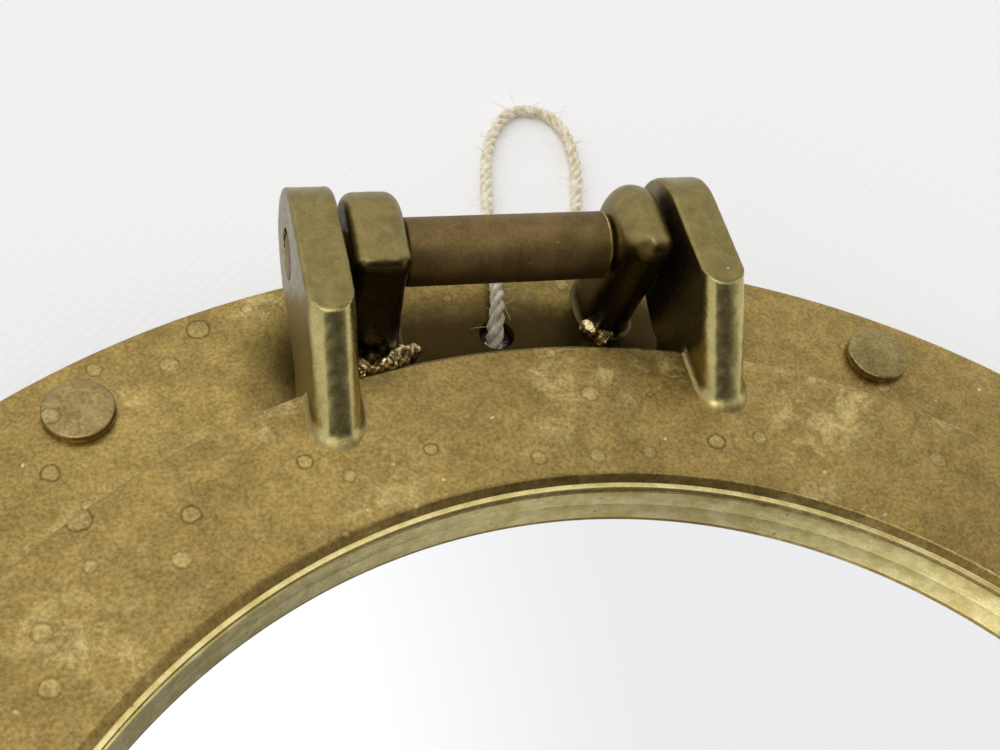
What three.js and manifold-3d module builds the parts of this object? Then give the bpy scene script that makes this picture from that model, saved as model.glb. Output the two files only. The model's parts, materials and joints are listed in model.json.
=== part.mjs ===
// A brass porthole mirror: a round flange that stands on a short spigot ring, and a hinged door ring that holds the
// mirror. It lies on its back. Millimetres, +Z up out of the mirror, +Y towards the hinge, the origin on the ring's
// axis at the spigot's rear edge.
import * as THREE from "three";
import { mergeVertices } from "three/addons/utils/BufferGeometryUtils.js";
import Module from "manifold-3d";

const wasm = await Module();
wasm.setup();

// ---- driving dimensions ----
const GAP = 0.3; // left between two pieces that touch
const RING_SEGMENTS = 72;
const SMALL_SEGMENTS = 20;

const flangeRadius = 150;
const flangeThickness = 5;
const boreRadius = 99; // the frame's clear opening
const spigotDepth = 12; // stands the flange off the surface behind it
const spigotWall = 6;
const flangeTop = spigotDepth + flangeThickness;

const doorRadius = 116.85;
const doorFace = flangeTop + 16.9;
const doorBack = flangeTop + 0.6;
const lipRadius = 91; // the mirror's visible edge
const lipRound = 2; // shoulder between the door's face and the lip
const lipUnderside = flangeTop + 10.8;
const rebateRadius = 98; // the glass drops into this from behind
const recessRadius = 105; // the retaining ring drops into this
const recessTop = flangeTop + 3.2;
const gasketInner = 107.8;
const gasketOuter = 112.6;
const gasketHeight = 3;

const glassThickness = 4;
const backingThickness = 2.7;
const retainerInner = 90;
const retainerThickness = 2;
const screwCount = 6;
const screwCircle = 101.5;
const screwShank = 1.3;
const screwHead = 2.5;

const hingeX = 0.3; // the middle of the hinge pin's axis
const hingeY = 134.2;
const hingeHeight = 20.8; // above the flange
const hingeZ = flangeTop + hingeHeight;
const hingeTurn = -1.5; // degrees that the brazed hinge is out of square with the door
const pinRadius = 3.6;
const tubeRadius = 5.6;
// Distances from the middle of the hinge, along the pin.
const tubeEnds = [-16.3, 17.9];
const knuckleLeft = [-25.9, -16.9];
const knuckleRight = [18.5, 25.9];
const knuckleEye = 9.8; // radius of a knuckle's round back
const lugInner = 27.3;
const lugOuter = 34.6;
const lugEye = 10.8; // radius of a lug's round end

const rivetCount = 6;
const rivetCircle = 140.6;
const rivetTurn = 1.2; // degrees that the rivet pattern is out of line with the hinge
const rivetHead = 5.75;
const rivetShank = 3;

const dogAngle = 120; // degrees from the hinge to each swing bolt
const dogCircle = 136.5; // the swing bolt's pivot
const dogHeight = flangeTop + 9.5;
const dogPin = 3;
const boltRadius = 4;
const boltLength = 39.5; // from the pivot to the tip
const eyeRadius = 6;
const eyeHalfWidth = 4.3;
const washerRest = 22.5; // the washer's distance from the pivot, nut slackened
const washerThickness = 1.6;
const earTop = flangeTop + 26;
const earUnderside = flangeTop + 17.6;
const earReach = 143.5;
const earHalfWidth = 13;

const holeX = 2.9; // the hole for the hanging string
const holeY = 132.2;
const holeRadius = 2.6;
const stringRadius = 1.3;

// ---- materials ----
const metal = (color, roughness) => new THREE.MeshStandardMaterial({ color, roughness, metalness: 1 });
const plain = (color, roughness) => new THREE.MeshStandardMaterial({ color, roughness, metalness: 0 });
const agedBrass = metal(0x8f7a45, 0.45);
const polishedBrass = metal(0xb8a468, 0.25);
const darkBronze = metal(0x5d4a30, 0.4);
const mirrorSilver = metal(0xe8ecee, 0.03);
const hardboard = plain(0x7a5a3a, 0.85);
const blackRubber = plain(0x1c1c1c, 0.8);
const twine = plain(0xd9ccaa, 0.9);

// ---- solids ----
function solidFrom(geometry) {
  const bare = new THREE.BufferGeometry().setAttribute("position", geometry.getAttribute("position"));
  bare.setIndex(geometry.getIndex());
  const merged = mergeVertices(bare, 1e-4);
  return new wasm.Manifold(
    new wasm.Mesh({
      numProp: 3,
      vertProperties: merged.getAttribute("position").array,
      triVerts: new Uint32Array(merged.getIndex().array),
    }),
  );
}

function geometryFrom(solid) {
  const { vertProperties, triVerts } = solid.getMesh();
  const geometry = new THREE.BufferGeometry();
  geometry.setAttribute("position", new THREE.BufferAttribute(vertProperties, 3));
  geometry.setIndex(new THREE.BufferAttribute(triVerts, 1));
  geometry.computeVertexNormals();
  return geometry;
}

const joined = (...solids) => solids.reduce((all, one) => all.add(one));
const cut = (solid, ...tools) => tools.reduce((left, tool) => left.subtract(tool), solid);

const assembly = new THREE.Group();

function place(name, solid, material, parent = assembly) {
  const mesh = new THREE.Mesh(geometryFrom(solid), material);
  mesh.name = name;
  parent.add(mesh);
}

// A body of revolution about Z from [radius, height] points, listed anticlockwise with the radius to the right.
function turned(points, segments = RING_SEGMENTS) {
  const profile = [...points, points[0]].map(([radius, height]) => new THREE.Vector2(radius, height));
  return solidFrom(new THREE.LatheGeometry(profile, segments).rotateX(Math.PI / 2));
}

function ring(inner, outer, low, high) {
  return turned([[inner, low], [outer, low], [outer, high], [inner, high]]);
}

function disc(radius, low, high, segments = RING_SEGMENTS) {
  const cylinder = new THREE.CylinderGeometry(radius, radius, high - low, segments);
  return solidFrom(cylinder.rotateX(Math.PI / 2).translate(0, 0, (low + high) / 2));
}

function box(low, high) {
  const [x, y, z] = high.map((value, i) => value - low[i]);
  const middle = high.map((value, i) => (value + low[i]) / 2);
  return solidFrom(new THREE.BoxGeometry(x, y, z).translate(...middle));
}

// A rod along X, between two x values, at y and z.
function rodX(radius, from, to, y, z, segments = SMALL_SEGMENTS) {
  const cylinder = new THREE.CylinderGeometry(radius, radius, to - from, segments);
  return solidFrom(cylinder.rotateZ(Math.PI / 2).translate((from + to) / 2, y, z));
}

// A plate whose outline lies in the YZ plane, from one x value to another, with chamfered edges.
function plateX(outline, from, to, chamfer) {
  const geometry = new THREE.ExtrudeGeometry(outline, {
    depth: to - from - 2 * chamfer,
    curveSegments: 10,
    bevelEnabled: chamfer > 0,
    bevelThickness: chamfer,
    bevelSize: chamfer,
    bevelOffset: -chamfer,
    bevelSegments: 1,
  });
  const across = new THREE.Matrix4().makeBasis(
    new THREE.Vector3(0, 1, 0),
    new THREE.Vector3(0, 0, 1),
    new THREE.Vector3(1, 0, 0),
  );
  return solidFrom(geometry.applyMatrix4(across).translate(from + chamfer, 0, 0));
}

// The same solid at count places round the Z axis.
function roundTheRing(count, turnDegrees, make) {
  for (let i = 0; i < count; i++) {
    const angle = ((360 / count) * (i + 0.5) + turnDegrees) * THREE.MathUtils.DEG2RAD;
    make(i + 1, angle);
  }
}

// An upright solid moved out to a circle, at an angle taken clockwise from +Y.
function atAngle(solid, circle, angle) {
  return solid.translate([circle * Math.sin(angle), circle * Math.cos(angle), 0]);
}

// ---- frame: flange, spigot ring and rivets ----
function buildFrame() {
  const edge = 1;
  const plate = turned([
    [boreRadius, spigotDepth],
    [flangeRadius, spigotDepth],
    [flangeRadius, flangeTop - edge],
    [flangeRadius - 0.3 * edge, flangeTop - 0.3 * edge],
    [flangeRadius - edge, flangeTop],
    [boreRadius, flangeTop],
  ]);
  const below = spigotDepth - 1;
  const above = flangeTop + 1;
  const countersink = solidFrom(
    new THREE.CylinderGeometry(holeRadius + 2, holeRadius, 2, SMALL_SEGMENTS)
      .rotateX(Math.PI / 2)
      .translate(0, 0, flangeTop),
  );
  const stringHole = joined(disc(holeRadius, below, above, SMALL_SEGMENTS), countersink);
  const tools = [stringHole.translate([holeX, holeY, 0])];
  const clearance = disc(rivetShank + GAP, below, above, SMALL_SEGMENTS);
  roundTheRing(rivetCount, rivetTurn, (number, angle) => {
    tools.push(atAngle(clearance, rivetCircle, angle));
    place(`flange_rivet_${number}`, atAngle(rivet(), rivetCircle, angle), agedBrass);
  });
  place("flange_plate", cut(plate, ...tools), agedBrass);
  place("spigot_ring", ring(boreRadius, boreRadius + spigotWall, 0, spigotDepth - GAP), agedBrass);
}

// A flat round head above the flange, a shank through it and a smaller closed head behind.
function rivet() {
  const tail = 4.5;
  const headLow = flangeTop + GAP;
  const headHigh = flangeTop + 1.6;
  const tailHigh = spigotDepth - GAP;
  const tailLow = tailHigh - 1.2;
  return turned(
    [
      [0, tailLow],
      [tail - 0.4, tailLow],
      [tail, tailLow + 0.4],
      [tail, tailHigh],
      [rivetShank, tailHigh],
      [rivetShank, headLow],
      [rivetHead, headLow],
      [rivetHead, headHigh - 0.4],
      [rivetHead - 0.5, headHigh],
      [0, headHigh],
    ],
    SMALL_SEGMENTS,
  );
}

// ---- hinge ----
// From the hinge's own axes, X along the pin, to its place on the flange.
function onHinge(solid) {
  return solid.rotate([0, 0, hingeTurn]).translate([hingeX, hingeY, hingeZ]);
}

function pinBore() {
  return rodX(pinRadius + GAP, -40, 40, 0, 0);
}

// A knuckle stands on the flange and is round behind the pin.
function knuckleOutline() {
  const foot = GAP - hingeHeight;
  const corner = 3;
  const outline = new THREE.Shape();
  outline.moveTo(-5.5, foot);
  outline.lineTo(knuckleEye + 0.8, foot);
  outline.lineTo(knuckleEye, 0);
  outline.absarc(0, 0, knuckleEye, 0, Math.PI / 2, false);
  outline.absarc(corner - 9, knuckleEye - corner, corner, Math.PI / 2, Math.PI, false);
  outline.closePath();
  return outline;
}

// A lug runs from the door's face, over its edge, back to a round eye about the pin.
function lugOutline(eyeY) {
  const outline = new THREE.Shape();
  outline.moveTo(102.5, doorFace - 1);
  outline.lineTo(112, doorFace - 6);
  outline.lineTo(112, flangeTop + 2);
  outline.lineTo(118.5, flangeTop + 2);
  outline.lineTo(122.5, flangeTop + 8);
  outline.absarc(eyeY, hingeZ, lugEye, -0.58 * Math.PI, Math.PI / 2, false);
  outline.lineTo(116.5, hingeZ + lugEye);
  outline.lineTo(115, hingeZ + lugEye - 0.8);
  outline.lineTo(104.2, doorFace + 2.4);
  outline.closePath();
  return outline;
}

function buildHinge() {
  const knuckle = (ends) => onHinge(cut(plateX(knuckleOutline(), ...ends, 1), pinBore()));
  place("hinge_knuckle_left", knuckle(knuckleLeft), agedBrass);
  place("hinge_knuckle_right", knuckle(knuckleRight), agedBrass);
  const pinEnd = lugOuter - 0.4;
  place("hinge_pin", onHinge(rodX(pinRadius, -pinEnd, pinEnd, 0, 0)), darkBronze);
  const tube = cut(rodX(tubeRadius, ...tubeEnds, 0, 0, 32), pinBore());
  place("hinge_spacer_tube", onHinge(tube), darkBronze);
}

// ---- door: ring with its lugs, gasket, glass, backing and retaining ring ----
function doorRingSolid() {
  const outerRound = 1;
  const lipCurve = [0, 0.33, 0.67, 1].map((step) => {
    const angle = (step * Math.PI) / 2;
    return [
      lipRadius + lipRound * (1 - Math.cos(angle)),
      doorFace - lipRound * (1 - Math.sin(angle)),
    ];
  });
  return turned([
    [recessRadius, doorBack],
    [gasketInner - GAP, doorBack],
    [gasketInner - GAP, doorBack + gasketHeight],
    [gasketOuter + GAP, doorBack + gasketHeight],
    [gasketOuter + GAP, doorBack],
    [doorRadius, doorBack],
    [doorRadius, doorFace - outerRound],
    [doorRadius - 0.3 * outerRound, doorFace - 0.3 * outerRound],
    [doorRadius - outerRound, doorFace],
    ...lipCurve.reverse(),
    [lipRadius, lipUnderside],
    [rebateRadius, lipUnderside],
    [rebateRadius, recessTop],
    [recessRadius, recessTop],
  ]);
}

// A countersunk screw, head down, whose shank runs up into the door.
function retainingScrew(extra = 0) {
  const low = flangeTop + 0.9;
  return turned(
    [
      [0, low],
      [screwHead + extra, low],
      [screwShank + extra, low + 1.3],
      [screwShank + extra, low + 7 + extra],
      [0, low + 7 + extra],
    ],
    16,
  );
}

function buildDoor() {
  const screwHoles = [];
  roundTheRing(screwCount, 0, (number, angle) => {
    screwHoles.push(atAngle(retainingScrew(GAP), screwCircle, angle));
    place(`retaining_screw_${number}`, atAngle(retainingScrew(), screwCircle, angle), polishedBrass);
  });
  const lugMiddle = (lugInner + lugOuter) / 2;
  const lugs = [-lugMiddle, lugMiddle].map((distance) => {
    const eyeY = hingeY + distance * Math.sin(hingeTurn * THREE.MathUtils.DEG2RAD);
    const halfWidth = (lugOuter - lugInner) / 2;
    const middle = hingeX + distance;
    return plateX(lugOutline(eyeY), middle - halfWidth, middle + halfWidth, 1);
  });
  const body = cut(joined(doorRingSolid(), ...lugs), onHinge(pinBore()), ...screwHoles);
  place("door_ring", body, agedBrass);

  const gasketLow = flangeTop + GAP;
  place("door_gasket", ring(gasketInner, gasketOuter, gasketLow, gasketLow + gasketHeight), blackRubber);

  const glassTop = lipUnderside - GAP;
  const glassLow = glassTop - glassThickness;
  const backingTop = glassLow - GAP;
  const backingLow = backingTop - backingThickness;
  place("mirror_glass", disc(rebateRadius - 0.5, glassLow, glassTop), mirrorSilver);
  place("mirror_backing", disc(rebateRadius - 1, backingLow, backingTop), hardboard);
  const retainerTop = recessTop - GAP;
  const retainer = ring(retainerInner, recessRadius - 0.5, retainerTop - retainerThickness, retainerTop);
  place("glass_retaining_ring", cut(retainer, ...screwHoles), polishedBrass);
}

// ---- swing bolts: clevis, pin, eye bolt, washer and wing nut, and the forked ear on the door ----
// Each is built over the hinge's +Y side, with X across and Y outward, then turned to its place.
function clevisSolid() {
  const base = box([-9.6, 128, flangeTop + GAP], [9.6, 148, flangeTop + 3.2]);
  const stop = box([-9.6, 144.5, flangeTop + 3], [9.6, 148, dogHeight - boltRadius - GAP]);
  const cheekRound = 6.5;
  const cheek = new THREE.Shape();
  cheek.moveTo(dogCircle - 8, flangeTop + 3);
  cheek.lineTo(dogCircle + 9, flangeTop + 3);
  cheek.lineTo(dogCircle + cheekRound, dogHeight);
  cheek.absarc(dogCircle, dogHeight, cheekRound, 0, Math.PI, false);
  cheek.closePath();
  const cheeks = [-9.6, eyeHalfWidth + GAP].map((from) => plateX(cheek, from, from + 5, 0));
  const bore = rodX(dogPin + GAP, -12, 12, dogCircle, dogHeight);
  return cut(joined(base, stop, ...cheeks), bore);
}

function eyeBoltSolid() {
  const eye = rodX(eyeRadius, -eyeHalfWidth, eyeHalfWidth, dogCircle, dogHeight, 32);
  const tipChamfer = 0.8;
  const shank = turned(
    [[0, 2], [boltRadius, 2], [boltRadius, boltLength - tipChamfer], [boltRadius - tipChamfer, boltLength],
      [0, boltLength]],
    SMALL_SEGMENTS,
  );
  const outward = shank.rotate([-90, 0, 0]).translate([0, dogCircle, dogHeight]);
  return cut(joined(eye, outward), rodX(dogPin + GAP, -12, 12, dogCircle, dogHeight));
}

// The wing nut on an upright axis, its seat at height 0.
function wingNutSolid() {
  const height = 8;
  const hub = turned([[0, 0], [7, 0], [7, 1.5], [5.6, height], [0, height]], SMALL_SEGMENTS);
  const wing = new THREE.Shape();
  wing.moveTo(3, 1.2);
  wing.lineTo(7, 1.2);
  wing.quadraticCurveTo(12, 3.5, 15.2, 6.5);
  wing.absarc(13.6, 9.8, 3.4, -1, 2.2, false);
  wing.quadraticCurveTo(8, 9.5, 5, 7.5);
  wing.lineTo(3, 7.5);
  wing.closePath();
  const thickness = 3.2;
  const plate = solidFrom(
    new THREE.ExtrudeGeometry(wing, { depth: thickness, curveSegments: 8, bevelEnabled: false })
      .translate(0, 0, -thickness / 2)
      .rotateX(Math.PI / 2),
  );
  const whole = joined(hub, plate, plate.rotate([0, 0, 180]));
  return cut(whole, disc(boltRadius + GAP, -1, height + 1, SMALL_SEGMENTS));
}

// The ear stands on the door's face like the hinge lugs, and forks round the swing bolt.
function earSolid() {
  const outline = new THREE.Shape();
  outline.moveTo(103, doorFace + GAP);
  outline.lineTo(doorRadius, doorFace + GAP);
  outline.lineTo(doorRadius + 0.5, earUnderside);
  outline.lineTo(earReach, earUnderside);
  outline.absarc(earReach - 3, earTop - 3, 3, 0, Math.PI / 2, false);
  outline.lineTo(111.5, earTop);
  outline.closePath();
  const slotHalfWidth = 4.8;
  const slotRoot = 129.5;
  const slot = box([-slotHalfWidth, slotRoot, flangeTop], [slotHalfWidth, 160, earTop + 5]);
  return cut(plateX(outline, -earHalfWidth, earHalfWidth, 1), slot);
}

function buildDog(side, angle) {
  const group = new THREE.Group();
  group.rotation.z = -angle * THREE.MathUtils.DEG2RAD;
  assembly.add(group);
  // From upright to pointing outward along the bolt.
  const alongBolt = (solid, distance) =>
    solid.rotate([-90, 0, 0]).translate([0, dogCircle + distance, dogHeight]);
  const washer = cut(
    disc(8, 0, washerThickness, SMALL_SEGMENTS),
    disc(boltRadius + GAP, -1, washerThickness + 1, SMALL_SEGMENTS),
  );
  const nutRest = washerRest + washerThickness + GAP;
  place(`dog_clevis_${side}`, clevisSolid(), agedBrass, group);
  place(`dog_pin_${side}`, rodX(dogPin, -10.2, 10.2, dogCircle, dogHeight), darkBronze, group);
  place(`dog_bolt_${side}`, eyeBoltSolid(), polishedBrass, group);
  place(`dog_washer_${side}`, alongBolt(washer, washerRest), polishedBrass, group);
  place(`dog_nut_${side}`, alongBolt(wingNutSolid(), nutRest), polishedBrass, group);
  place(`door_ear_${side}`, earSolid(), agedBrass, group);
}

// ---- hanging string ----
// The string leaves its knot under the flange, comes up through the hole, crosses the flange below the hinge tube,
// drops over the edge, makes a loop on the surface and comes back under the flange to the knot.
const stringRoute = [
  [4.2, 127.4, 4.4],
  [3.3, 129.6, 8.6],
  [2.9, 131.4, 12.8],
  [3, 133.4, 16.8],
  [3.6, 136.6, 19],
  [4.5, 141.4, 19.4],
  [5.6, 146.4, 19.3],
  [6.9, 151.4, 17.9],
  [8, 154.8, 13.9],
  [9, 157.8, 8.8],
  [10.3, 161.9, 4.4],
  [11.9, 167.4, 2.1],
  [13.4, 174.4, 1.6],
  [14.8, 182, 1.6],
  [16.8, 190.4, 1.6],
  [20.2, 198.2, 1.6],
  [26, 203.8, 1.6],
  [32.2, 203, 1.6],
  [35.6, 197.2, 1.6],
  [35.9, 189.6, 1.6],
  [34.3, 181, 1.6],
  [31.8, 172.4, 1.6],
  [28.8, 163, 1.6],
  [25.3, 153.4, 1.6],
  [21.2, 144.2, 1.6],
  [16.8, 136.2, 1.9],
  [13.2, 130.6, 2.8],
];
const knotCentre = [8.4, 125.4, 3.8];

function buildString() {
  const points = stringRoute.map((point) => new THREE.Vector3(...point));
  const curve = new THREE.CatmullRomCurve3(points, false, "centripetal");
  const section = new THREE.Shape();
  const sides = 8;
  for (let i = 0; i < sides; i++) {
    const angle = (i / sides) * 2 * Math.PI;
    const [x, y] = [stringRadius * Math.cos(angle), stringRadius * Math.sin(angle)];
    if (i === 0) section.moveTo(x, y);
    else section.lineTo(x, y);
  }
  section.closePath();
  const tube = new THREE.ExtrudeGeometry(section, { steps: 60, extrudePath: curve });
  place("hanging_string", solidFrom(tube), twine);
  const knot = new THREE.SphereGeometry(1, 12, 8).scale(3.2, 3, 3.6).translate(...knotCentre);
  place("string_knot", solidFrom(knot), twine);
}

buildFrame();
buildHinge();
buildDoor();
buildDog("left", -dogAngle);
buildDog("right", dogAngle);
buildString();

export default assembly;
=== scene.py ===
"""The looks of a brass porthole mirror that lies on a white table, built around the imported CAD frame.

Shapes are worked out in millimetres in the CAD frame and turned into metres when a mesh is made. Heights that are
called h are above the flange's top face.
"""

import json
import math

import bmesh
import bpy
import numpy as np
from mathutils import Matrix, Vector

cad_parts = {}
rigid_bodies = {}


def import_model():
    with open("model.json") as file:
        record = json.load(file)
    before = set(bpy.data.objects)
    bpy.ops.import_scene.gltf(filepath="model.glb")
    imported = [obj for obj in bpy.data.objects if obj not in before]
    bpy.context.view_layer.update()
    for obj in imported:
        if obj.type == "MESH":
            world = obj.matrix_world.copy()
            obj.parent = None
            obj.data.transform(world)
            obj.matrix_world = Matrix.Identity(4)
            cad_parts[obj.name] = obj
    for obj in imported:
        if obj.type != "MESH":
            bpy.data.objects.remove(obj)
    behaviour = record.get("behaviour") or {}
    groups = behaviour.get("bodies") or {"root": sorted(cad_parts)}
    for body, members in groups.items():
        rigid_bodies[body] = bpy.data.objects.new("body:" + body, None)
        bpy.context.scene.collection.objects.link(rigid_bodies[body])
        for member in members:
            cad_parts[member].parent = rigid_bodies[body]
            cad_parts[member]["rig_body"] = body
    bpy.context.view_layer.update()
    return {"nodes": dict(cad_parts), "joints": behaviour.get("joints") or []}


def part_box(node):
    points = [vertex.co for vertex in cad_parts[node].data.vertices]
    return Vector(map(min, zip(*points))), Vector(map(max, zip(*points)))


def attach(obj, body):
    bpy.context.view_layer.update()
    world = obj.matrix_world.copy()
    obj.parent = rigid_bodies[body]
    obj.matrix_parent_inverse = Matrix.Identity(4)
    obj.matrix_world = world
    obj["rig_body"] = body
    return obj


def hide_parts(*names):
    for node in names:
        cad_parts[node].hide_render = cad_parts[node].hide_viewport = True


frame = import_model()

MM = 0.001


def node_box(name):
    """A CAD node's lowest and highest corner in millimetres."""
    low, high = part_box(name)
    return np.array(low) / MM, np.array(high) / MM


# ---- sizes read from the frame ----
FLANGE_LOW, FLANGE_HIGH = node_box("flange_plate")
FLANGE_TOP = float(FLANGE_HIGH[2])
FLANGE_BOTTOM = float(FLANGE_LOW[2])
FLANGE_RADIUS = float(FLANGE_HIGH[0])
SPIGOT_LOW, SPIGOT_HIGH = node_box("spigot_ring")
GASKET_HIGH = node_box("door_gasket")[1]
GLASS_HIGH = node_box("mirror_glass")[1]
RETAINER_HIGH = node_box("glass_retaining_ring")[1]
PIN_LOW, PIN_HIGH = node_box("hinge_pin")
TUBE_LOW, TUBE_HIGH = node_box("hinge_spacer_tube")
HINGE_X, HINGE_Y, HINGE_Z = ((PIN_LOW + PIN_HIGH) / 2).tolist()
HINGE_H = HINGE_Z - FLANGE_TOP
PIN_RADIUS = float(PIN_HIGH[2] - PIN_LOW[2]) / 2
TUBE_RADIUS = float(TUBE_HIGH[2] - TUBE_LOW[2]) / 2
KNUCKLE_EYE = float(node_box("hinge_knuckle_left")[1][2]) - HINGE_Z
DOOR_AXIS = next(joint for joint in frame["joints"] if joint["name"] == "door_hinge")["axis"]
HINGE_TURN = math.atan2(-DOOR_AXIS[1], -DOOR_AXIS[0])
ON_HINGE = Matrix.Translation((HINGE_X, HINGE_Y, HINGE_Z)) @ Matrix.Rotation(HINGE_TURN, 4, "Z")
DOOR_LOW, DOOR_HIGH = node_box("door_ring")
DOOR_RADIUS = -float(DOOR_LOW[1])

# ---- sizes that the frame doesn't tell, as in the CAD ----
BORE_RADIUS = 99.0
LIP_RADIUS = 91.0
DOOR_FACE_H = 16.9
DOOR_BACK_H = 0.6
LUG_EYE = float(DOOR_HIGH[2]) - HINGE_Z
LUG_TOP_H = HINGE_H + LUG_EYE
LUG_MIDDLE = 30.95  # from the middle of the hinge, along the pin
LUG_HALF = 3.65
KNUCKLE_ENDS = {"left": (-25.9, -16.9), "right": (18.3, 26.3)}  # along the pin, as the lugs' middle
FLANGE_EDGE = 0.9
SUNK = 0.08  # how far the foot of a casting's fillet is sunk into the face that it stands on


def add_object(name, data):
    thing = bpy.data.objects.new(name, data)
    bpy.context.scene.collection.objects.link(thing)
    return thing


# ---- camera ----
def make_camera():
    """From over the mirror towards the hinge, rolled so that the hinge climbs to the right."""
    aim = Vector((0.0015, 0.1236, FLANGE_TOP * MM))
    distance = 0.2303
    azimuth, elevation, roll = math.radians(25.88), math.radians(52.28), math.radians(16.09)
    forward = Vector((
        math.sin(azimuth) * math.cos(elevation),
        math.cos(azimuth) * math.cos(elevation),
        -math.sin(elevation),
    ))
    data = bpy.data.cameras.new("camera")
    data.lens = 48.32
    data.sensor_width = 36
    data.clip_start = 0.005
    camera = add_object("camera", data)
    turn = forward.to_track_quat("-Z", "Y").to_matrix() @ Matrix.Rotation(roll, 3, "Z")
    camera.matrix_world = Matrix.Translation(aim - distance * forward) @ turn.to_4x4()
    bpy.context.scene.camera = camera


# ---- meshes ----
def add_piece(name, points, faces, material, body, slot, stands_for=(), normals=None, sharp=35):
    """A mesh piece from millimetre points. normals are the true surface's, one for each point."""
    mesh = bpy.data.meshes.new(name)
    mesh.from_pydata((np.asarray(points, float) * MM).tolist(), [], [list(map(int, f)) for f in faces])
    mesh.validate()
    mesh.polygons.foreach_set("use_smooth", [True] * len(mesh.polygons))
    if normals is None:
        mesh.set_sharp_from_angle(angle=math.radians(sharp))
    else:
        mesh.normals_split_custom_set_from_vertices(normals.tolist())
    piece = add_object(name, mesh)
    for one in material if isinstance(material, (list, tuple)) else [material]:
        mesh.materials.append(one)
    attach(piece, body)
    if stands_for:
        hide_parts(*stands_for)
    return piece


def rounded(corners, steps=5):
    """A closed outline from (a, b, radius) corners, each corner drawn as an arc of that radius."""
    line = []
    count = len(corners)
    for i, (a, b, radius) in enumerate(corners):
        here = np.array([a, b], float)
        if radius <= 0:
            line.append(here)
            continue
        before = np.array(corners[i - 1][:2], float) - here
        after = np.array(corners[(i + 1) % count][:2], float) - here
        before /= np.linalg.norm(before)
        after /= np.linalg.norm(after)
        half = math.acos(max(-1.0, min(1.0, float(before @ after)))) / 2
        reach = radius / math.tan(half)
        middle = here + (before + after) / np.linalg.norm(before + after) * radius / math.sin(half)
        start, end = here + before * reach - middle, here + after * reach - middle
        turn = math.atan2(start[0] * end[1] - start[1] * end[0], float(start @ end))
        for step in range(steps + 1):
            c, s = math.cos(turn * step / steps), math.sin(turn * step / steps)
            line.append(middle + np.array([c * start[0] - s * start[1], s * start[0] + c * start[1]]))
    return np.array(line)


def lathe(outline, segments):
    """Points and faces of a closed (radius, height) outline turned about Z. Points on the axis are merged."""
    angles = np.arange(segments) * 2 * math.pi / segments
    points, rows = [], []
    for radius, height in outline:
        if radius < 1e-6:
            rows.append([len(points)] * segments)
            points.append((0.0, 0.0, height))
        else:
            rows.append(list(range(len(points), len(points) + segments)))
            points.extend(zip(radius * np.cos(angles), radius * np.sin(angles), [height] * segments))
    faces = []
    for row, following in zip(rows, rows[1:] + rows[:1]):
        for i in range(segments):
            j = (i + 1) % segments
            corners = [row[i], row[j], following[j], following[i]]
            face = [c for k, c in enumerate(corners) if c not in corners[:k]]
            if len(face) > 2:
                faces.append(face)
    return np.array(points), faces


def add_turned(name, corners, segments, material, body, slot, stands_for=(), place=None, sharp=35):
    """A turned piece from anticlockwise (radius, height, corner radius) corners. place is a matrix in mm."""
    points, faces = lathe(rounded(corners), segments)
    if place is not None:
        points = (np.c_[points, np.ones(len(points))] @ np.array(place).T)[:, :3]
    return add_piece(name, points, faces, material, body, slot, stands_for, sharp=sharp)


# ---- solids given as a distance field: negative inside, in millimetres ----
def rounded_meet(a, b, radius):
    """What both solids share, with the edge between them rounded."""
    over = np.hypot(np.maximum(a + radius, 0), np.maximum(b + radius, 0))
    return np.minimum(-radius, np.maximum(a, b)) + over


def rounded_corner(radius, *solids):
    """What all the solids share, with its edges and corners rounded."""
    over = np.sqrt(sum(np.maximum(solid + radius, 0) ** 2 for solid in solids))
    return np.minimum(-radius, np.maximum.reduce(solids)) + over


def filleted_join(a, b, radius):
    """Both solids together, with a fillet in the corner between them."""
    under = np.hypot(np.maximum(radius - a, 0), np.maximum(radius - b, 0))
    return np.maximum(radius, np.minimum(a, b)) - under


def ramp(value, low, high):
    """0 below low, 1 above high, smooth in between."""
    t = np.clip((value - low) / (high - low), 0, 1)
    return t * t * (3 - 2 * t)


def hand_finish(x, y, z, size=0.05):
    """The slight waves of a casting that was filed by hand."""
    slow = np.sin(0.55 * x + 0.3 * z + 1.1) * np.sin(0.43 * y - 0.5 * z) * np.cos(0.37 * z + 0.2 * x)
    quick = np.sin(1.7 * x - 0.9 * y) * np.sin(1.3 * y + 1.1 * z + 0.7)
    return size * (slow + 0.4 * quick)


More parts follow.
